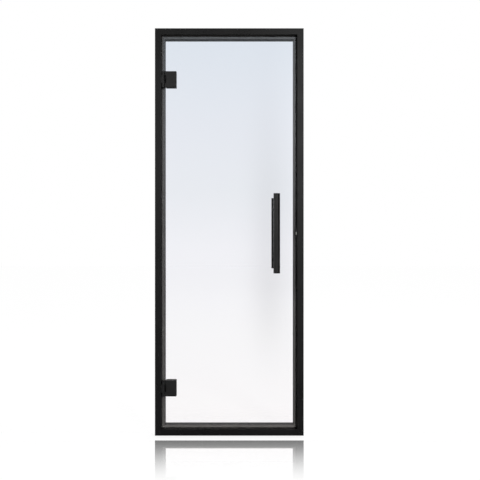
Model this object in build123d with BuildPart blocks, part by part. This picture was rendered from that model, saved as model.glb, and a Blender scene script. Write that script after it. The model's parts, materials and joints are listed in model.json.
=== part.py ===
from build123d import *
import os

# A framed glass door: one clear leaf on two clamp hinges in a black hollow frame,
# with a bar pull on each face and a sprung roller catch in the latch jamb.
# Millimetres. +X to the right as seen from the front, +Y to the rear, +Z up.
# The origin is at the middle of the sill's underside, in the glass's mid-plane.

# Frame
frame_width = 690.0
frame_height = 1890.0
face_width = 30.0  # seen from the front
stop_reach = 15.0  # the stop stands this far past the reveal
stop_depth = 33.0  # front to back
profile_wall = 2.0
face_fillet = 1.5
stop_fillet = 0.8
groove_wall = 1.5
groove_neck = 2.0
groove_head = 4.4
groove_lip = 1.4
groove_depth = 3.6
groove_inset = 8.5  # from the stop's inner edge to the middle of the groove

# Leaf
glass_thickness = 8.0
glass_recess = 13.0  # front of the frame to the front of the glass
leaf_gap = 5.0  # all round
seal_space = 4.0  # glass to stop
glass_edge = 0.8
glass_corner = 2.0

# Seal
seal_clearance = 0.3
seal_base = 1.8
seal_edge = 0.5  # the base stays this far inside the stop's inner edge
seal_width = 13.0
bulb_radius = 1.8
bulb_wall = 0.5
tongue_clearance = 0.1

# Fits
play = 0.1
running = 0.05
body_clearance = 0.3

# Corner cleats and their screws
cleat_leg = 70.0
cleat_wall = 4.0
cleat_clearance = 0.15
cleat_screw_radius = 2.4
cleat_screw_grip = 7.0
cleat_screw_from_corner = 50.0
pan_head_radius = 4.3
pan_head_height = 2.2

# Wall fixings, four down each jamb
fixing_count = 4
fixing_end = 130.0
fixing_hole_radius = 3.25
driver_hole_radius = 6.5

# Hinges
lower_hinge_height = 219.0
upper_hinge_from_top = 236.0  # from the head's top to its middle
hinge_height = 75.0
knuckle_radius = 7.0
knuckle_to_reveal = 9.0  # hinge axis to the jamb's reveal
bracket_height = 37.0
plate_width = 48.0
plate_thickness = 10.0
plate_to_axis = 12.0  # hinge axis to the clamp plate's edge
gasket_thickness = 1.0
gasket_overhang = 6.0  # past the clamp plate, under the knuckle
plate_edge = 0.8
pin_radius = 4.0
pin_inset = 0.8
bush_radius = 5.2
knuckle_gap = 0.1
bush_flange = 1.0
bracket_plate = 3.0
bracket_lip = 1.0  # bracket stands proud of the frame's front
bracket_screw_spacing = 22.0
bracket_screw_radius = 2.5
bracket_screw_length = 11.0
bracket_head_radius = 4.6
bracket_head_height = 2.1
bracket_margin = 0.3  # screw head to the bracket's edge
backing_thickness = 4.0
backing_height = 60.0
backing_depth = 24.0
clamp_screw_spacing = 40.0
clamp_screw_radius = 4.0
clamp_head_radius = 7.6
clamp_head_height = 3.6
clamp_bite = 7.0  # of the screw into the front plate
hinge_hole_radius = 8.0
socket_across = 5.0
socket_depth = 4.0

# Pulls
handle_height = 939.0
handle_inset = 94.0  # from the leaf's latch edge
bar_radius = 15.0
bar_wall = 2.0
outer_bar_length = 364.0
inner_bar_length = 334.0
bar_standoff = 65.0  # glass to the middle of the bar
post_spacing = 220.0
post_radius = 9.0
rosette_radius = 16.0
rosette_thickness = 5.0
rosette_edge = 1.0
washer_thickness = 1.0
washer_inset = 0.6
stud_radius = 4.0
stud_bite = 18.0  # of the stud into each post
handle_hole_radius = 7.0
cap_depth = 6.0
cap_sink = 0.6
cap_edge = 1.0
grub_radius = 2.5

# Roller catch
catch_height = 939.0
roller_radius = 5.0
roller_height = 13.0
roller_reach = 6.2  # past the reveal
roller_to_glass = 2.8  # roller's middle to the glass's front face, front to back
catch_travel = 4.0
axle_radius = 1.5
fork_thickness = 2.0
fork_margin = 0.4  # fork's side past the roller's
fork_nose = 2.8  # fork in front of the axle
catch_plate = 2.0
catch_plate_height = 54.0
catch_plate_width = 16.0
catch_throat = 6.0  # the passage that guides the fork
plunger_tail = 6.7
plunger_shoulder = 1.8
housing_wall = 2.0
spring_pressed = 6.0  # length with the roller pushed right in
spring_radius = 3.4
spring_wire = 0.9
spring_turns = 5.0
catch_screw_spacing = 42.0
catch_screw_radius = 1.75
catch_screw_length = 11.0
catch_head_radius = 3.4
catch_head_height = 1.6
spigot_radius = 2.4
spigot_length = 3.0
roller_edge = 0.6
fork_fillet = 1.5

os.makedirs("parts", exist_ok=True)

# Places that follow from the sizes
glass_front = -glass_thickness / 2
glass_rear = glass_thickness / 2
frame_front = glass_front - glass_recess
stop_face = glass_rear + seal_space
frame_rear = stop_face + stop_depth
stop_width = face_width + stop_reach
reveal_x = frame_width / 2 - face_width
rebate_middle = (frame_front + stop_face) / 2
leaf_side = reveal_x - leaf_gap
leaf_bottom = face_width + leaf_gap
leaf_top = frame_height - face_width - leaf_gap


def save(piece, name):
    piece.part.label = name
    export_step(piece.part, f"parts/{name}.step")


def rect(x0, y0, x1, y1, mode=Mode.ADD):
    with Locations(((x0 + x1) / 2, (y0 + y1) / 2)):
        Rectangle(x1 - x0, y1 - y0, mode=mode)


def block(x0, y0, z0, x1, y1, z1, mode=Mode.ADD):
    with Locations(((x0 + x1) / 2, (y0 + y1) / 2, (z0 + z1) / 2)):
        Box(x1 - x0, y1 - y0, z1 - z0, mode=mode)


def rod(x, y, z, radius, length, way, mode=Mode.ADD):
    # A cylinder that starts at a point and runs along a direction
    with BuildSketch(Plane(origin=(x, y, z), z_dir=way)) as disc:
        Circle(radius)
    extrude(disc.sketch, amount=length, mode=mode)


def cone(x, y, z, radius, tip_radius, length, way, mode=Mode.ADD):
    with BuildSketch(Plane(origin=(x, y, z), z_dir=way)) as base:
        Circle(radius)
    with BuildSketch(Plane(origin=(x, y, z), z_dir=way).offset(length)) as tip:
        Circle(tip_radius)
    loft([base.sketch, tip.sketch], mode=mode)


def screw(x, y, z, way, length, radius, head_radius, head_height, countersunk):
    # Head first: a countersunk head starts at the point, a pan head stands behind it
    back = tuple(-v for v in way)
    if countersunk:
        cone(x, y, z, head_radius, radius, head_height, way)
        rod(x, y, z, radius, length, way)
    else:
        rod(x, y, z, head_radius, head_height, back)
        rod(x, y, z, radius, length, way)


# The frame's section. Local x runs from the door's outer edge inwards, local y to the rear.
with BuildSketch() as frame_section:
    with BuildLine():
        Polyline(
            (0, frame_front),
            (face_width, frame_front),
            (face_width, stop_face),
            (stop_width, stop_face),
            (stop_width, frame_rear),
            (0, frame_rear),
            close=True,
        )
    make_face()
    corners = frame_section.vertices()
    fillet(corners.group_by(Axis.Y)[0], face_fillet)
    fillet(
        [v for v in frame_section.vertices() if v.X > stop_width - 0.01],
        stop_fillet,
    )
    rect(
        profile_wall,
        frame_front + profile_wall,
        face_width - profile_wall,
        frame_rear - profile_wall,
        Mode.SUBTRACT,
    )
    rect(
        face_width,
        stop_face + profile_wall,
        stop_width - profile_wall,
        frame_rear - profile_wall,
        Mode.SUBTRACT,
    )
    # Seal groove in the stop, with its own walls
    groove_x = stop_width - groove_inset
    rect(
        groove_x - groove_head / 2 - groove_wall,
        stop_face + profile_wall / 2,
        groove_x + groove_head / 2 + groove_wall,
        stop_face + groove_depth + groove_wall,
    )
    rect(
        groove_x - groove_neck / 2,
        stop_face,
        groove_x + groove_neck / 2,
        stop_face + groove_depth,
        Mode.SUBTRACT,
    )
    rect(
        groove_x - groove_head / 2,
        stop_face + groove_lip,
        groove_x + groove_head / 2,
        stop_face + groove_depth,
        Mode.SUBTRACT,
    )

# The seal's section: a flat foot on the stop, a tongue in the groove and a hollow bulb
# at the inner edge, just clear of the glass
seal_inner = stop_width - seal_edge
bulb_x = seal_inner - bulb_radius
bulb_y = glass_rear + seal_clearance + bulb_radius
with BuildSketch() as seal_section:
    rect(seal_inner - seal_width, stop_face - seal_base, seal_inner, stop_face)
    rect(bulb_x - bulb_radius, bulb_y, seal_inner, stop_face)
    with Locations((bulb_x, bulb_y)):
        Circle(bulb_radius)
        Circle(bulb_radius - bulb_wall, mode=Mode.SUBTRACT)
    rect(
        groove_x - groove_neck / 2 + tongue_clearance,
        stop_face,
        groove_x + groove_neck / 2 - tongue_clearance,
        stop_face + groove_lip + tongue_clearance * 2,
    )
    rect(
        groove_x - groove_head / 2 + tongue_clearance * 2,
        stop_face + groove_lip + tongue_clearance,
        groove_x + groove_head / 2 - tongue_clearance * 2,
        stop_face + groove_depth - tongue_clearance,
    )

half_width = frame_width / 2
members = {
    "jamb_hinge_side": ((-half_width, 0, 0), (1, 0, 0), (0, 0, 1), frame_height),
    "jamb_latch_side": ((half_width, 0, frame_height), (-1, 0, 0), (0, 0, -1), frame_height),
    "sill": ((half_width, 0, 0), (0, 0, 1), (-1, 0, 0), frame_width),
    "head": ((-half_width, 0, frame_height), (0, 0, -1), (1, 0, 0), frame_width),
}


def mitred(section, origin, inwards, along, length):
    # A section run along one side of the door and cut at 45 degrees at both ends
    start = Vector(origin)
    run = Vector(along)
    side = Vector(inwards)
    with BuildPart() as piece:
        with BuildSketch(Plane(origin=origin, x_dir=inwards, z_dir=along)):
            add(section.sketch)
        extrude(amount=length)
        split(bisect_by=Plane(origin=start, z_dir=run - side), keep=Keep.TOP)
        split(
            bisect_by=Plane(origin=start + run * length, z_dir=-run - side),
            keep=Keep.TOP,
        )
    return piece.part


hinge_x = -reveal_x + knuckle_to_reveal
hinge_y = glass_front - gasket_thickness - knuckle_radius
hinge_heights = {
    "upper": frame_height - upper_hinge_from_top,
    "lower": lower_hinge_height,
}
fixing_step = (frame_height - 2 * fixing_end) / (fixing_count - 1)
bracket_rear = stop_face - seal_base - body_clearance
bracket_screw_y = bracket_rear - bracket_head_radius - bracket_margin
catch_y = glass_front - roller_to_glass

# Sizes of the catch, from the reveal into the jamb
roller_x = reveal_x - roller_reach + roller_radius
fork_half = roller_height / 2 + body_clearance + fork_thickness
fork_width = roller_radius + fork_margin
throat_half = fork_half + body_clearance
shoulder_half = throat_half + plunger_shoulder
cavity_half = shoulder_half + body_clearance
cavity_width = fork_width + body_clearance
throat_end = reveal_x - catch_plate + catch_throat
plunger_seat = throat_end + body_clearance
plunger_end = plunger_seat + plunger_tail
spring_length = spring_pressed + catch_travel
cavity_end = plunger_end + spring_length
housing_half = cavity_half + housing_wall
housing_width = cavity_width + housing_wall


def cleat_screw_points(name):
    # Where each member's two cleat screws go in, and their way
    near = cleat_screw_from_corner
    if name == "jamb_hinge_side":
        return [(-reveal_x, z) for z in (near, frame_height - near)], (-1, 0, 0)
    if name == "jamb_latch_side":
        return [(reveal_x, z) for z in (near, frame_height - near)], (1, 0, 0)
    ends = (-half_width + near, half_width - near)
    if name == "sill":
        return [(x, face_width) for x in ends], (0, 0, -1)
    return [(x, frame_height - face_width) for x in ends], (0, 0, 1)


for name, (origin, inwards, along, length) in members.items():
    with BuildPart() as member:
        add(mitred(frame_section, origin, inwards, along, length))
        points, way = cleat_screw_points(name)
        for x, z in points:
            rod(x, rebate_middle, z, cleat_screw_radius + play, profile_wall, way, Mode.SUBTRACT)
        if name.startswith("jamb"):
            sign = -1 if name == "jamb_hinge_side" else 1
            for i in range(fixing_count):
                z = fixing_end + i * fixing_step
                rod(sign * half_width, rebate_middle, z, fixing_hole_radius,
                    profile_wall, (-sign, 0, 0), Mode.SUBTRACT)
                rod(sign * reveal_x, rebate_middle, z, driver_hole_radius,
                    profile_wall, (sign, 0, 0), Mode.SUBTRACT)
        if name == "jamb_hinge_side":
            for height in hinge_heights.values():
                for side in (-1, 1):
                    rod(-reveal_x, bracket_screw_y, height + side * bracket_screw_spacing / 2,
                        bracket_screw_radius + play, profile_wall, (-1, 0, 0), Mode.SUBTRACT)
        if name == "jamb_latch_side":
            block(
                reveal_x - profile_wall, catch_y - housing_width - play,
                catch_height - housing_half - play, reveal_x + profile_wall,
                catch_y + housing_width + play, catch_height + housing_half + play,
                Mode.SUBTRACT,
            )
            for side in (-1, 1):
                rod(reveal_x, catch_y, catch_height + side * catch_screw_spacing / 2,
                    catch_screw_radius + play, profile_wall, (1, 0, 0), Mode.SUBTRACT)
    save(member, f"frame_{name}")
    with BuildPart() as seal:
        add(mitred(seal_section, origin, inwards, along, length))
    save(seal, f"seal_{name}")

# Corner cleats: slices of an L-shaped section with open cells, inside the mitres
cleat_near = profile_wall + cleat_clearance
cleat_far = face_width - profile_wall - cleat_clearance
cleat_front = frame_front + profile_wall + cleat_clearance
cleat_depth = frame_rear - profile_wall - cleat_clearance - cleat_front
corners = {
    "lower_left": (-1, -1), "lower_right": (1, -1), "upper_left": (-1, 1), "upper_right": (1, 1),
}
for name, (right, up) in corners.items():
    corner = (right * half_width, cleat_front, frame_height if up > 0 else 0)
    with BuildPart() as cleat:
        with BuildSketch(Plane(origin=corner, x_dir=(-right, 0, 0), z_dir=(0, -right * up, 0))):
            rect(cleat_near, cleat_near, cleat_leg, cleat_far)
            rect(cleat_near, cleat_near, cleat_far, cleat_leg)
            inner = (cleat_near + cleat_wall, cleat_far - cleat_wall)
            rect(inner[0], inner[0], inner[1], inner[1], Mode.SUBTRACT)
            rect(cleat_far, inner[0], cleat_leg - cleat_wall, inner[1], Mode.SUBTRACT)
            rect(inner[0], cleat_far, inner[1], cleat_leg - cleat_wall, Mode.SUBTRACT)
        extrude(amount=-right * up * cleat_depth)
        for member_name in members:
            points, way = cleat_screw_points(member_name)
            for x, z in points:
                rod(x, rebate_middle, z, cleat_screw_radius + play / 2,
                    profile_wall + cleat_clearance + cleat_wall, way, Mode.SUBTRACT)
    save(cleat, f"corner_cleat_{name}")

with BuildPart() as cleat_screws:
    for member_name in members:
        points, way = cleat_screw_points(member_name)
        for x, z in points:
            screw(x, rebate_middle, z, way, cleat_screw_grip,
                  cleat_screw_radius, pan_head_radius, pan_head_height, False)
save(cleat_screws, "corner_cleat_screws")

# The leaf
plate_near = hinge_x + plate_to_axis
plate_far = plate_near + plate_width
clamp_x = (plate_near + plate_far) / 2
handle_x = leaf_side - handle_inset
handle_posts = [handle_height - post_spacing / 2, handle_height + post_spacing / 2]
with BuildPart() as glass:
    middle = (0, glass_front, (leaf_bottom + leaf_top) / 2)
    with BuildSketch(Plane(origin=middle, x_dir=(1, 0, 0), z_dir=(0, 1, 0))):
        RectangleRounded(2 * leaf_side, leaf_top - leaf_bottom, glass_corner)
    extrude(amount=glass_thickness)
    rims = glass.edges().group_by(Axis.Y)
    chamfer(rims[0] + rims[-1], glass_edge)
    for height in hinge_heights.values():
        for side in (-1, 1):
            rod(clamp_x, glass_front, height + side * clamp_screw_spacing / 2,
                hinge_hole_radius, glass_thickness, (0, 1, 0), Mode.SUBTRACT)
    for height in handle_posts:
        rod(handle_x, glass_front, height, handle_hole_radius, glass_thickness,
            (0, 1, 0), Mode.SUBTRACT)
save(glass, "leaf_glass")

# Hinges
gasket_front = glass_front - gasket_thickness
gasket_rear = glass_rear + gasket_thickness
plate_front = gasket_front - plate_thickness
plate_rear = gasket_rear + plate_thickness
bracket_half = bracket_height / 2
ear_start = bracket_half + knuckle_gap + bush_flange
hinge_half = hinge_height / 2
bracket_front = frame_front - bracket_lip
bracket_x = -reveal_x + bracket_plate
clamp_length = plate_rear - gasket_front + clamp_bite

for name, height in hinge_heights.items():
    clamp_heights = [height - clamp_screw_spacing / 2, height + clamp_screw_spacing / 2]
    bracket_heights = [height - bracket_screw_spacing / 2, height + bracket_screw_spacing / 2]
    bottom = height - hinge_half
    top = height + hinge_half

    with BuildPart() as front_plate:
        block(plate_near, plate_front, bottom, plate_far, gasket_front, top)
        for side in (-1, 1):
            start = height + side * ear_start
            end = height + side * hinge_half
            block(hinge_x, plate_front, min(start, end), plate_near, gasket_front, max(start, end))
            rod(hinge_x, hinge_y, start, knuckle_radius, hinge_half - ear_start, (0, 0, side))
        rims = front_plate.edges().filter_by_position(
            Axis.Y, plate_front - 0.01, plate_front + 0.01
        )
        chamfer([e for e in rims if e.center().X > plate_near - 0.01], plate_edge)
        rod(hinge_x, hinge_y, bottom, bush_radius + running, hinge_height, (0, 0, 1), Mode.SUBTRACT)
        for z in clamp_heights:
            rod(clamp_x, gasket_front, z, clamp_screw_radius + play, clamp_bite + play,
                (0, -1, 0), Mode.SUBTRACT)
    save(front_plate, f"{name}_hinge_front_plate")

    with BuildPart() as back_plate:
        block(plate_near, gasket_rear, bottom, plate_far, plate_rear, top)
        chamfer(back_plate.edges().group_by(Axis.Y)[-1], plate_edge)
        for z in clamp_heights:
            cone(clamp_x, plate_rear, z, clamp_head_radius + play, clamp_screw_radius + play,
                 clamp_head_height, (0, -1, 0), Mode.SUBTRACT)
            rod(clamp_x, plate_rear, z, clamp_screw_radius + play, plate_thickness,
                (0, -1, 0), Mode.SUBTRACT)
    save(back_plate, f"{name}_hinge_back_plate")

    with BuildPart() as gaskets:
        block(plate_near - gasket_overhang, gasket_front, bottom, plate_far, glass_front, top)
        block(plate_near, glass_rear, bottom, plate_far, gasket_rear, top)
        for z in clamp_heights:
            rod(clamp_x, gasket_front, z, clamp_screw_radius + play,
                gasket_rear - gasket_front, (0, 1, 0), Mode.SUBTRACT)
    save(gaskets, f"{name}_hinge_gaskets")

    with BuildPart() as sleeves:
        for z in clamp_heights:
            rod(clamp_x, glass_front, z, hinge_hole_radius - play, glass_thickness, (0, 1, 0))
            rod(clamp_x, glass_front, z, clamp_screw_radius + play, glass_thickness,
                (0, 1, 0), Mode.SUBTRACT)
    save(sleeves, f"{name}_hinge_sleeves")

    with BuildPart() as clamp_screws:
        for z in clamp_heights:
            screw(clamp_x, plate_rear, z, (0, -1, 0), clamp_length, clamp_screw_radius,
                  clamp_head_radius, clamp_head_height, True)
            with BuildSketch(Plane(origin=(clamp_x, plate_rear, z), z_dir=(0, -1, 0))):
                RegularPolygon(socket_across / 2, 6, major_radius=False)
            extrude(amount=socket_depth, mode=Mode.SUBTRACT)
    save(clamp_screws, f"{name}_hinge_clamp_screws")

    with BuildPart() as bracket:
        block(-reveal_x, bracket_front, height - bracket_half,
              bracket_x, bracket_rear, height + bracket_half)
        block(-reveal_x, bracket_front, height - bracket_half,
              hinge_x, hinge_y + knuckle_radius / 2, height + bracket_half)
        rod(hinge_x, hinge_y, height - bracket_half, knuckle_radius, bracket_height, (0, 0, 1))
        rod(hinge_x, hinge_y, height - bracket_half, pin_radius + running, bracket_height,
            (0, 0, 1), Mode.SUBTRACT)
        for z in bracket_heights:
            cone(bracket_x, bracket_screw_y, z, bracket_head_radius + play,
                 bracket_screw_radius + play, bracket_head_height, (-1, 0, 0), Mode.SUBTRACT)
            rod(bracket_x, bracket_screw_y, z, bracket_screw_radius + play, bracket_plate,
                (-1, 0, 0), Mode.SUBTRACT)
    save(bracket, f"{name}_hinge_bracket")

    with BuildPart() as bracket_screws:
        for z in bracket_heights:
            screw(bracket_x, bracket_screw_y, z, (-1, 0, 0), bracket_screw_length,
                  bracket_screw_radius, bracket_head_radius, bracket_head_height, True)
    save(bracket_screws, f"{name}_hinge_bracket_screws")

    backing_x = -reveal_x - profile_wall
    with BuildPart() as backing:
        block(backing_x - backing_thickness, bracket_screw_y - backing_depth / 2,
              height - backing_height / 2, backing_x,
              bracket_screw_y + backing_depth / 2, height + backing_height / 2)
        for z in bracket_heights:
            rod(backing_x, bracket_screw_y, z, bracket_screw_radius + play, backing_thickness,
                (-1, 0, 0), Mode.SUBTRACT)
    save(backing, f"{name}_hinge_backing_plate")

    with BuildPart() as pin:
        rod(hinge_x, hinge_y, bottom + pin_inset, pin_radius,
            hinge_height - 2 * pin_inset, (0, 0, 1))
    save(pin, f"{name}_hinge_pin")

    with BuildPart() as bushes:
        for side in (-1, 1):
            flange = height + side * (bracket_half + knuckle_gap)
            rod(hinge_x, hinge_y, flange, knuckle_radius, bush_flange, (0, 0, side))
            rod(hinge_x, hinge_y, height + side * ear_start, bush_radius,
                hinge_half - ear_start, (0, 0, side))
        rod(hinge_x, hinge_y, bottom, pin_radius + running, hinge_height,
            (0, 0, 1), Mode.SUBTRACT)
    save(bushes, f"{name}_hinge_bushes")

# Pulls: each is a tube with two posts, clamped through the glass by two studs
washer_front = glass_thickness / 2 + washer_thickness
post_start = washer_front + rosette_thickness
bar_offset = glass_thickness / 2 + bar_standoff
bars = {"outer": (-1, outer_bar_length), "inner": (1, inner_bar_length)}
for name, (side, length) in bars.items():
    bottom = handle_height - length / 2
    with BuildPart() as pull:
        rod(handle_x, side * bar_offset, bottom, bar_radius, length, (0, 0, 1))
        for z in handle_posts:
            rod(handle_x, side * post_start, z, post_radius, bar_offset - post_start, (0, side, 0))
        rod(handle_x, side * bar_offset, bottom, bar_radius - bar_wall, length,
            (0, 0, 1), Mode.SUBTRACT)
        for z in handle_posts:
            rod(handle_x, side * post_start, z, stud_radius + play, stud_bite + play,
                (0, side, 0), Mode.SUBTRACT)
            if name == "inner":
                rod(handle_x, post_start + stud_bite / 2, z, grub_radius + play,
                    post_radius, (0, 0, -1), Mode.SUBTRACT)
    save(pull, f"{name}_pull")

with BuildPart() as end_caps:
    for side, length in bars.values():
        for up in (-1, 1):
            face = handle_height + up * (length / 2 - cap_sink)
            rod(handle_x, side * bar_offset, face, bar_radius - bar_wall - play,
                cap_depth, (0, 0, -up))
    rims = []
    for side, length in bars.values():
        for up in (-1, 1):
            face = handle_height + up * (length / 2 - cap_sink)
            rims += [
                e for e in end_caps.edges()
                if abs(e.center().Z - face) < 0.01 and e.center().Y * side > 0
                and e.geom_type == GeomType.CIRCLE
            ]
    chamfer(rims, cap_edge)
save(end_caps, "pull_end_caps")

with BuildPart() as rosettes:
    for side in (-1, 1):
        for z in handle_posts:
            rod(handle_x, side * washer_front, z, rosette_radius,
                rosette_thickness - rosette_edge, (0, side, 0))
            cone(handle_x, side * (post_start - rosette_edge), z, rosette_radius,
                 rosette_radius - rosette_edge, rosette_edge, (0, side, 0))
            rod(handle_x, side * washer_front, z, stud_radius + play, rosette_thickness,
                (0, side, 0), Mode.SUBTRACT)
save(rosettes, "pull_rosettes")

with BuildPart() as washers:
    for side in (-1, 1):
        for z in handle_posts:
            rod(handle_x, side * glass_thickness / 2, z, rosette_radius - washer_inset,
                washer_thickness, (0, side, 0))
            rod(handle_x, side * glass_thickness / 2, z, stud_radius + play, washer_thickness,
                (0, side, 0), Mode.SUBTRACT)
save(washers, "pull_washers")

with BuildPart() as pull_sleeves:
    for z in handle_posts:
        rod(handle_x, glass_front, z, handle_hole_radius - play, glass_thickness, (0, 1, 0))
        rod(handle_x, glass_front, z, stud_radius + play, glass_thickness,
            (0, 1, 0), Mode.SUBTRACT)
save(pull_sleeves, "pull_sleeves")

with BuildPart() as studs:
    for z in handle_posts:
        rod(handle_x, -post_start - stud_bite, z, stud_radius,
            2 * (post_start + stud_bite), (0, 1, 0))
save(studs, "pull_studs")

with BuildPart() as grub_screws:
    for z in handle_posts:
        rod(handle_x, post_start + stud_bite / 2, z - post_radius + play, grub_radius,
            post_radius - stud_radius - 2 * play, (0, 0, 1))
save(grub_screws, "pull_grub_screws")

# Roller catch, let into the latch jamb
catch_screw_heights = [
    catch_height - catch_screw_spacing / 2, catch_height + catch_screw_spacing / 2,
]
plate_x = reveal_x - catch_plate
with BuildPart() as housing:
    block(plate_x, catch_y - catch_plate_width / 2, catch_height - catch_plate_height / 2,
          reveal_x, catch_y + catch_plate_width / 2, catch_height + catch_plate_height / 2)
    fillet(housing.edges().filter_by(Axis.X), catch_plate_width / 4)
    block(reveal_x, catch_y - housing_width, catch_height - housing_half,
          cavity_end + housing_wall, catch_y + housing_width, catch_height + housing_half)
    block(plate_x, catch_y - cavity_width, catch_height - throat_half,
          throat_end, catch_y + cavity_width, catch_height + throat_half, Mode.SUBTRACT)
    block(throat_end, catch_y - cavity_width, catch_height - cavity_half,
          cavity_end, catch_y + cavity_width, catch_height + cavity_half, Mode.SUBTRACT)
    for z in catch_screw_heights:
        cone(plate_x, catch_y, z, catch_head_radius + play, catch_screw_radius + play,
             catch_head_height, (1, 0, 0), Mode.SUBTRACT)
        rod(plate_x, catch_y, z, catch_screw_radius + play, catch_plate,
            (1, 0, 0), Mode.SUBTRACT)
save(housing, "catch_housing")

fork_gap = roller_height / 2 + body_clearance
with BuildPart() as plunger:
    block(roller_x - fork_nose, catch_y - fork_width, catch_height - fork_half,
          plunger_seat, catch_y + fork_width, catch_height + fork_half)
    noses = plunger.edges().filter_by(Axis.Z).group_by(Axis.X)[0]
    fillet(noses, fork_fillet)
    block(roller_x - fork_nose, catch_y - fork_width, catch_height - fork_gap,
          plunger_seat, catch_y + fork_width, catch_height + fork_gap, Mode.SUBTRACT)
    block(plunger_seat, catch_y - fork_width, catch_height - shoulder_half,
          plunger_end, catch_y + fork_width, catch_height + shoulder_half)
    rod(plunger_end, catch_y, catch_height, spigot_radius, spigot_length, (1, 0, 0))
    rod(roller_x, catch_y, catch_height - fork_half, axle_radius + running,
        2 * fork_half, (0, 0, 1), Mode.SUBTRACT)
save(plunger, "catch_plunger")

with BuildPart() as axle:
    rod(roller_x, catch_y, catch_height - fork_half, axle_radius, 2 * fork_half, (0, 0, 1))
save(axle, "catch_axle")

with BuildPart() as roller:
    rod(roller_x, catch_y, catch_height - roller_height / 2, roller_radius,
        roller_height, (0, 0, 1))
    chamfer(roller.edges().filter_by(GeomType.CIRCLE), roller_edge)
    rod(roller_x, catch_y, catch_height - roller_height / 2, axle_radius + running,
        roller_height, (0, 0, 1), Mode.SUBTRACT)
save(roller, "catch_roller")

with BuildPart() as spring:
    coil_height = spring_length - spring_wire
    with BuildLine() as coil:
        Helix(coil_height / spring_turns, coil_height, spring_radius,
              center=(plunger_end + spring_wire / 2, catch_y, catch_height),
              direction=(1, 0, 0))
    with BuildSketch(Plane(origin=coil.line @ 0, z_dir=coil.line % 0)):
        Circle(spring_wire / 2)
    sweep(path=coil.line)
save(spring, "catch_spring")

with BuildPart() as catch_screws:
    for z in catch_screw_heights:
        screw(plate_x, catch_y, z, (1, 0, 0), catch_screw_length, catch_screw_radius,
              catch_head_radius, catch_head_height, True)
save(catch_screws, "catch_screws")
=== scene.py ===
import bpy
import json
import math
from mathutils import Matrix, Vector


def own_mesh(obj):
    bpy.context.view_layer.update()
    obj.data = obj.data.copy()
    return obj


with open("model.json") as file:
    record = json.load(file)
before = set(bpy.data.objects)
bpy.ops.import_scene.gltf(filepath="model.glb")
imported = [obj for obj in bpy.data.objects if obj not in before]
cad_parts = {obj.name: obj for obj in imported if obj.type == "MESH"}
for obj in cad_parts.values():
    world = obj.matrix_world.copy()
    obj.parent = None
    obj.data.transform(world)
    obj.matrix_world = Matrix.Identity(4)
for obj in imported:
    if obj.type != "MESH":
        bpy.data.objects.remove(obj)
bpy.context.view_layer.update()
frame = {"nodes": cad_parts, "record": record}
scene = bpy.context.scene
nodes = frame["nodes"]

# All lengths are in metres.
DOOR_HEIGHT = 1.89
DOOR_MIDDLE = (0.0, 0.0, 0.945)

# ---- camera, as in the photograph: square on, at half the door's height ----
camera_data = bpy.data.cameras.new("camera")
camera_data.sensor_width = 36.0
camera_data.lens = 45.29
camera_data.shift_x = 0.0223
camera_data.shift_y = -0.0167
camera = bpy.data.objects.new("camera", camera_data)
camera.location = (0.0, -2.817, 0.945)
camera.rotation_euler = (math.radians(90), 0.0, 0.0)
scene.collection.objects.link(camera)
scene.camera = camera
scene.view_settings.view_transform = "Standard"


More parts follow.
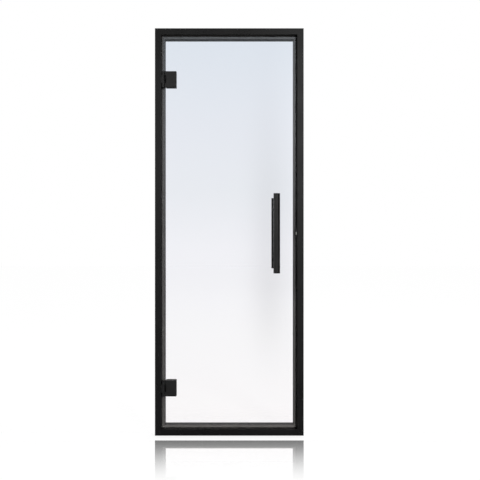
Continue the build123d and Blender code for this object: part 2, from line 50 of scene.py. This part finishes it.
# ---- node helpers ----
class Tree:
    """Short calls for building the nodes of one material, or of the world."""

    def __init__(self, owner, output, coord):
        owner.use_nodes = True
        self.owner = owner
        self.nt = owner.node_tree
        self.nt.nodes.clear()
        self.out = self.node(output)
        self.coord = self.node("ShaderNodeTexCoord").outputs[coord]

    def node(self, kind, **values):
        n = self.nt.nodes.new(kind)
        for key, value in values.items():
            setattr(n, key, value)
        return n

    def link(self, source, target):
        self.nt.links.new(source, target)

    def rays(self):
        return self.node("ShaderNodeLightPath").outputs

    def axes(self):
        n = self.node("ShaderNodeSeparateXYZ")
        self.link(self.coord, n.inputs[0])
        return n.outputs["X"], n.outputs["Y"], n.outputs["Z"]

    def math(self, op, a, b=None, clamp=False):
        n = self.node("ShaderNodeMath", operation=op, use_clamp=clamp)
        for i, v in enumerate((a, b)):
            if v is None:
                continue
            if isinstance(v, (int, float)):
                n.inputs[i].default_value = v
            else:
                self.link(v, n.inputs[i])
        return n.outputs[0]

    def total(self, first, *others):
        for other in others:
            first = self.math("ADD", first, other)
        return first

    def largest(self, first, *others):
        for other in others:
            first = self.math("MAXIMUM", first, other)
        return first

    def square(self, value):
        return self.math("MULTIPLY", value, value)

    def bell(self, squared, width):
        """e to the power of -squared / width: 1 in the middle, fading outwards."""
        return self.math("POWER", 2.718, self.math("DIVIDE", squared, -width))

    def remap(self, value, low, high, to_low, to_high, curve="LINEAR"):
        n = self.node("ShaderNodeMapRange", interpolation_type=curve)
        self.link(value, n.inputs["Value"])
        for key, v in zip(("From Min", "From Max", "To Min", "To Max"),
                          (low, high, to_low, to_high)):
            n.inputs[key].default_value = v
        return n.outputs[0]

    def noise(self, scale, detail=3.0, rough=0.5, stretch=None):
        n = self.node("ShaderNodeTexNoise")
        n.inputs["Scale"].default_value = scale
        n.inputs["Detail"].default_value = detail
        n.inputs["Roughness"].default_value = rough
        place = self.coord
        if stretch:
            mapping = self.node("ShaderNodeMapping")
            mapping.inputs["Scale"].default_value = stretch
            self.link(self.coord, mapping.inputs["Vector"])
            place = mapping.outputs[0]
        self.link(place, n.inputs["Vector"])
        return n.outputs["Fac"]

    def mix(self, fac, a, b):
        n = self.node("ShaderNodeMix", data_type="RGBA")
        self.link(fac, n.inputs[0])
        for i, v in ((6, a), (7, b)):
            if isinstance(v, tuple):
                n.inputs[i].default_value = (*v, 1.0)
            else:
                self.link(v, n.inputs[i])
        return n.outputs[2]

    def bump(self, height, distance, strength):
        n = self.node("ShaderNodeBump")
        n.inputs["Distance"].default_value = distance
        n.inputs["Strength"].default_value = strength
        self.link(height, n.inputs["Height"])
        return n.outputs["Normal"]

    def edges(self, radius):
        """1 on sharp edges, 0 on faces."""
        bevel = self.node("ShaderNodeBevel", samples=4)
        bevel.inputs["Radius"].default_value = radius
        geometry = self.node("ShaderNodeNewGeometry")
        dot = self.node("ShaderNodeVectorMath", operation="DOT_PRODUCT")
        self.link(bevel.outputs[0], dot.inputs[0])
        self.link(geometry.outputs["Normal"], dot.inputs[1])
        return self.remap(dot.outputs["Value"], 0.98, 0.80, 0.0, 1.0)

    def principled(self, **values):
        n = self.node("ShaderNodeBsdfPrincipled")
        for key, value in values.items():
            socket = n.inputs[key.replace("_", " ").title().replace("Ior", "IOR")]
            if isinstance(value, (int, float)):
                socket.default_value = value
            else:
                self.link(value, socket)
        return n

    def blend_shaders(self, fac, first, second):
        n = self.node("ShaderNodeMixShader")
        self.link(fac, n.inputs[0])
        self.link(first.outputs[0], n.inputs[1])
        self.link(second.outputs[0], n.inputs[2])
        return n

    def finish(self, shader):
        self.link(shader.outputs[0], self.out.inputs["Surface"])
        return self.owner

    def seen(self, rays, *more):
        """1 for what is looked at, straight or through glass, and 0 for light that bounced."""
        through = self.math("MULTIPLY", rays["Is Transmission Ray"],
                            self.math("LESS_THAN", rays["Glossy Depth"], 0.5))
        looked_at = self.largest(rays["Is Camera Ray"], through, *more)
        return self.math("MULTIPLY", looked_at,
                         self.math("LESS_THAN", rays["Diffuse Depth"], 0.5))


def material_tree(name):
    return Tree(bpy.data.materials.new(name), "ShaderNodeOutputMaterial", "Object")


# ---- materials ----
def black_finish(name, rough, texture, depth, level, base=(0.0048, 0.0048, 0.005),
                 wear_and_highlight=(0.045, 0.045, 0.048), metallic=0.0):
    """Satin black paint: a fine orange peel, uneven gloss and edges painted a little lighter,
    partly as rubbed wear and partly as a painted highlight.

    texture and depth are the peel's noise scale and height; level is the specular level.
    """
    t = material_tree(name)
    blotch = t.noise(7.0, 4.0)
    peel = t.noise(texture, 2.0, 0.6)
    # edges painted lighter in patches: partly rubbed wear, partly a painted highlight along them
    rubbed = t.remap(t.noise(160.0, 3.0), 0.42, 0.62, 0.25, 1.0)
    edge_wear_and_highlight = t.math("MULTIPLY", t.edges(0.0009), rubbed)
    darker = tuple(c * 0.85 for c in base)
    colour = t.mix(t.remap(blotch, 0.35, 0.65, 0.0, 1.0), darker, base)
    colour = t.mix(t.math("MULTIPLY", edge_wear_and_highlight, 0.8), colour, wear_and_highlight)
    uneven = t.math("ADD", blotch, t.math("MULTIPLY", peel, 0.25))
    return t.finish(t.principled(
        base_color=colour,
        roughness=t.remap(uneven, 0.45, 0.8, rough - 0.05, rough + 0.06),
        normal=t.bump(peel, depth, 0.6),
        metallic=metallic,
        specular_ior_level=level,
    ))


def plastic(name, base, shade, rough):
    """Moulded plastic or rubber with a fine grain."""
    t = material_tree(name)
    return t.finish(t.principled(
        base_color=t.mix(t.noise(40.0, 4.0), base, shade),
        roughness=t.remap(t.noise(90.0, 3.0), 0.3, 0.7, rough - 0.06, rough + 0.06),
        normal=t.bump(t.noise(700.0, 2.0), 0.00002, 0.7),
    ))


def metal(name, base, shade, rough, stretch):
    """Bright metal with fine drawn lines along one way."""
    t = material_tree(name)
    lines = t.noise(60.0, 4.0, 0.6, stretch)
    return t.finish(t.principled(
        base_color=t.mix(lines, base, shade),
        roughness=t.remap(lines, 0.3, 0.7, rough - 0.08, rough + 0.08),
        normal=t.bump(lines, 0.00002, 0.5),
        metallic=1.0,
    ))


def seal_material(name, along, base, shade):
    """Grey silicone: matt, faintly drawn along its length, with a little bloom."""
    t = material_tree(name)
    stretch = tuple(0.03 if axis == along else 1.0 for axis in "xyz")
    lines = t.noise(900.0, 2.0, 0.5, stretch)
    bloom = t.noise(25.0, 4.0)
    return t.finish(t.principled(
        base_color=t.mix(t.remap(bloom, 0.3, 0.7, 0.0, 1.0), base, shade),
        roughness=t.remap(bloom, 0.3, 0.7, 0.55, 0.7),
        normal=t.bump(lines, 0.00002, 0.4),
        specular_ior_level=0.3,
    ))


# The glass's tint by height, a painted reflection: a share of the door's height, and the colour
# there.
GLASS_PAINTED_REFLECTION = (
    (0.03, (0.994, 0.975, 0.981)),
    (0.25, (0.98, 0.976, 0.991)),
    (0.455, (0.941, 0.945, 0.987)),
    (0.6, (0.853, 0.878, 0.925)),
    (0.753, (0.81, 0.84, 0.903)),
    (0.971, (0.753, 0.807, 0.882)),
)
# A painted reflection of the pulls, a darker soft patch on the glass beside them: its middle,
# and how far it fades out.
PULL_REFLECTION_X = 0.188
PULL_REFLECTION_Z = 0.70
PULL_REFLECTION_SIDEWAYS = 0.088
PULL_REFLECTION_UP = 0.75
PULL_REFLECTION_DOWN = 0.29
PULL_REFLECTION_STRENGTH = 0.127


def glass_material():
    """Clear toughened glass with painted reflections: paler towards the floor, cooler towards
    the head, darker beside the pulls.
    """
    t = material_tree("clear_glass")
    x, _, z = t.axes()
    # painted reflection: the glass's colour changes with height
    ramp = t.node("ShaderNodeValToRGB")
    elements = ramp.color_ramp.elements
    while len(elements) < len(GLASS_PAINTED_REFLECTION):
        elements.new(0.5)
    for element, (place, colour) in zip(elements, GLASS_PAINTED_REFLECTION):
        element.position = place
        element.color = (*colour, 1.0)
    t.link(t.math("DIVIDE", z, DOOR_HEIGHT), ramp.inputs[0])

    # painted reflection of the pulls: the glass's colour darkens in a soft patch beside them
    across = t.math("DIVIDE", t.math("SUBTRACT", x, PULL_REFLECTION_X), PULL_REFLECTION_SIDEWAYS)
    height = t.math("SUBTRACT", z, PULL_REFLECTION_Z)
    above = t.math("DIVIDE", t.math("MAXIMUM", height, 0.0), PULL_REFLECTION_UP)
    below = t.math("DIVIDE", t.math("MINIMUM", height, 0.0), PULL_REFLECTION_DOWN)
    spread = t.total(t.square(across), t.square(above), t.square(below))
    painted_pull_reflection = t.math("MULTIPLY", t.bell(spread, 1.0), PULL_REFLECTION_STRENGTH)

    smear = t.noise(9.0, 5.0, 0.6, (1.0, 1.0, 0.35))
    glass = t.principled(
        base_color=t.mix(painted_pull_reflection, ramp.outputs[0], (0.0, 0.0, 0.0)),
        roughness=t.remap(smear, 0.35, 0.75, 0.004, 0.016),
        transmission_weight=1.0,
        ior=1.5,
    )
    # light passes straight through, so the glass casts no dark shadow
    clear = t.node("ShaderNodeBsdfTransparent")
    return t.finish(t.blend_shaders(t.rays()["Is Shadow Ray"], glass, clear))


materials = {
    "black_powder_coat": black_finish(
        "black_powder_coat", rough=0.30, texture=1100.0, depth=0.00002, level=0.45),
    "black_hinge": black_finish(
        "black_hinge", rough=0.40, texture=1800.0, depth=0.000015, level=0.7),
    "black_handle": black_finish(
        "black_handle", rough=0.36, texture=2200.0, depth=0.00001, level=0.7),
    "black_fastener": black_finish(
        "black_fastener", rough=0.38, texture=2600.0, depth=0.00001, level=0.5,
        base=(0.02, 0.02, 0.021), wear_and_highlight=(0.09, 0.09, 0.09), metallic=0.4),
    "clear_glass": glass_material(),
    "black_rubber": plastic(
        "black_rubber", (0.012, 0.012, 0.012), (0.018, 0.018, 0.018), 0.62),
    "black_plastic": plastic(
        "black_plastic", (0.016, 0.016, 0.016), (0.024, 0.024, 0.024), 0.45),
    "white_plastic": plastic(
        "white_plastic", (0.72, 0.72, 0.70), (0.64, 0.64, 0.62), 0.42),
    "raw_aluminium": metal(
        "raw_aluminium", (0.72, 0.73, 0.74), (0.62, 0.63, 0.64), 0.38, (1.0, 0.04, 1.0)),
    "steel": metal(
        "steel", (0.62, 0.62, 0.62), (0.5, 0.5, 0.51), 0.28, (1.0, 1.0, 0.05)),
}
# painted light and shade: one grey silicone in two copies, the upright seals darker as painted
# shade and the level seals lighter as painted light, for the side light that the jambs keep off
# the upright ones
shaded_upright_seal = seal_material(
    "grey_seal_upright_painted_shade", "z", (0.104, 0.102, 0.097), (0.118, 0.115, 0.109))
lit_level_seal = seal_material(
    "grey_seal_level_painted_light", "x", (0.134, 0.131, 0.125), (0.152, 0.148, 0.141))

for row in frame["record"]["subparts"]:
    if row["material_slot"] == "grey_seal":
        # the jamb seals take the darker copy, painted shade; the head and sill seals take the
        # lighter copy, painted light
        finish = shaded_upright_seal if "jamb" in row["node"] else lit_level_seal
    else:
        finish = materials[row["material_slot"]]
    mesh = nodes[row["node"]].data
    mesh.materials.clear()
    mesh.materials.append(finish)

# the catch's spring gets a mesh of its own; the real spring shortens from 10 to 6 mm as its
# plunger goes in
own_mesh(nodes["catch_spring"])

# ---- world: a white room behind the door and a dimmer one in front ----
# X, Y and Z here are parts of a direction: right, away from the camera, and up.
world = bpy.data.worlds.new("studio")
scene.world = world
w = Tree(world, "ShaderNodeOutputWorld", "Generated")
x, y, z = w.axes()
rays = w.rays()

# what lights matt surfaces
rear = w.remap(y, -0.15, 0.4, 0.0, 1.0)
right = w.remap(x, 0.25, 0.9, 0.06, 1.5)
left = w.remap(x, -0.25, -0.9, 0.06, 0.7)
through_glass = w.math("MULTIPLY", rays["Is Transmission Ray"],
                       w.remap(z, 0.05, 0.3, 0.0, 0.8))
lit = w.largest(right, left, rear, through_glass)

# what paint mirrors: a low strip, mostly on the left, a small glow and the room behind
strip = w.math("MULTIPLY", w.bell(w.square(w.math("SUBTRACT", z, 0.15)), 0.022),
               w.remap(x, -0.35, 0.25, 1.15, 0.0))
from_glow = w.total(w.square(w.math("SUBTRACT", x, 0.27)), w.square(w.math("SUBTRACT", z, 0.19)))
glow = w.math("MULTIPLY", w.bell(from_glow, 0.018), 4.6)
in_front = w.math("MULTIPLY", w.total(strip, glow, 0.01), w.math("SUBTRACT", 1.0, rear))
mirrored = w.largest(in_front, w.math("MULTIPLY", rear, 0.35))
gloss = w.math("SUBTRACT", rays["Is Glossy Ray"],
               w.largest(rays["Is Singular Ray"], rays["Is Transmission Ray"]), clamp=True)

room = w.node("ShaderNodeBackground")
w.link(w.total(w.math("MULTIPLY", lit, w.math("SUBTRACT", 1.0, gloss)),
               w.math("MULTIPLY", mirrored, gloss)), room.inputs["Strength"])
white = w.node("ShaderNodeBackground")
white.inputs["Strength"].default_value = 1.0
for shader in (room, white):
    shader.inputs["Color"].default_value = (1.0, 1.0, 1.0, 1.0)
w.finish(w.blend_shaders(w.seen(rays, rays["Is Singular Ray"]), room, white))

# ---- lamp: one soft panel to the right of the camera ----
PANEL_PLACE = (3.0, -6.1, 2.5)
lamp_data = bpy.data.lights.new("key_panel", "AREA")
lamp_data.shape = "RECTANGLE"
lamp_data.size = lamp_data.size_y = 1.6
lamp_data.energy = 340.0
lamp = bpy.data.objects.new("key_panel", lamp_data)
lamp.location = PANEL_PLACE
aim = Vector(DOOR_MIDDLE) - Vector(PANEL_PLACE)
lamp.rotation_euler = aim.to_track_quat("-Z", "Y").to_euler()
# its outline would show as a hard white patch in the glass, so the world's glow takes its place
lamp.visible_glossy = False
lamp.visible_transmission = False
scene.collection.objects.link(lamp)

# ---- floor: white, with a polish beside the door that fades out on both sides ----
FLOOR_Z = -0.0105
FLOOR_REACH = 14.0
POLISH_START = 0.049
POLISH_END = 0.56
POLISH_STRENGTH = 0.84
FLOOR_GREY = 0.18  # what it gives back of the light, so the door keeps its shadow
FLOOR_GLOW = 0.875  # what makes it white where it is looked at
floor_mesh = bpy.data.meshes.new("floor")
corners = [(sx * FLOOR_REACH, sy * FLOOR_REACH, FLOOR_Z)
           for sx, sy in ((-1, -1), (1, -1), (1, 1), (-1, 1))]
floor_mesh.from_pydata(corners, [], [(0, 1, 2, 3)])
floor = bpy.data.objects.new("floor", floor_mesh)
scene.collection.objects.link(floor)

t = material_tree("pale_floor")
away = t.math("ABSOLUTE", t.axes()[1])
seen = t.seen(t.rays())
fade = t.remap(away, 0.0, POLISH_END, POLISH_STRENGTH, 0.0, "SMOOTHSTEP")
polish = t.math("MULTIPLY", t.math("MULTIPLY", fade, t.math("GREATER_THAN", away, POLISH_START)),
                seen)
matt = t.node("ShaderNodeBsdfDiffuse")
matt.inputs["Color"].default_value = (FLOOR_GREY, FLOOR_GREY, FLOOR_GREY, 1.0)
whitener = t.node("ShaderNodeEmission")
t.link(t.math("MULTIPLY", seen, FLOOR_GLOW), whitener.inputs["Strength"])
pale = t.node("ShaderNodeAddShader")
t.link(matt.outputs[0], pale.inputs[0])
t.link(whitener.outputs[0], pale.inputs[1])
mirror = t.node("ShaderNodeBsdfGlossy")
mirror.inputs["Roughness"].default_value = 0.0
mirror.inputs["Color"].default_value = (1.0, 1.0, 1.0, 1.0)
floor_mesh.materials.append(t.finish(t.blend_shaders(polish, pale, mirror)))
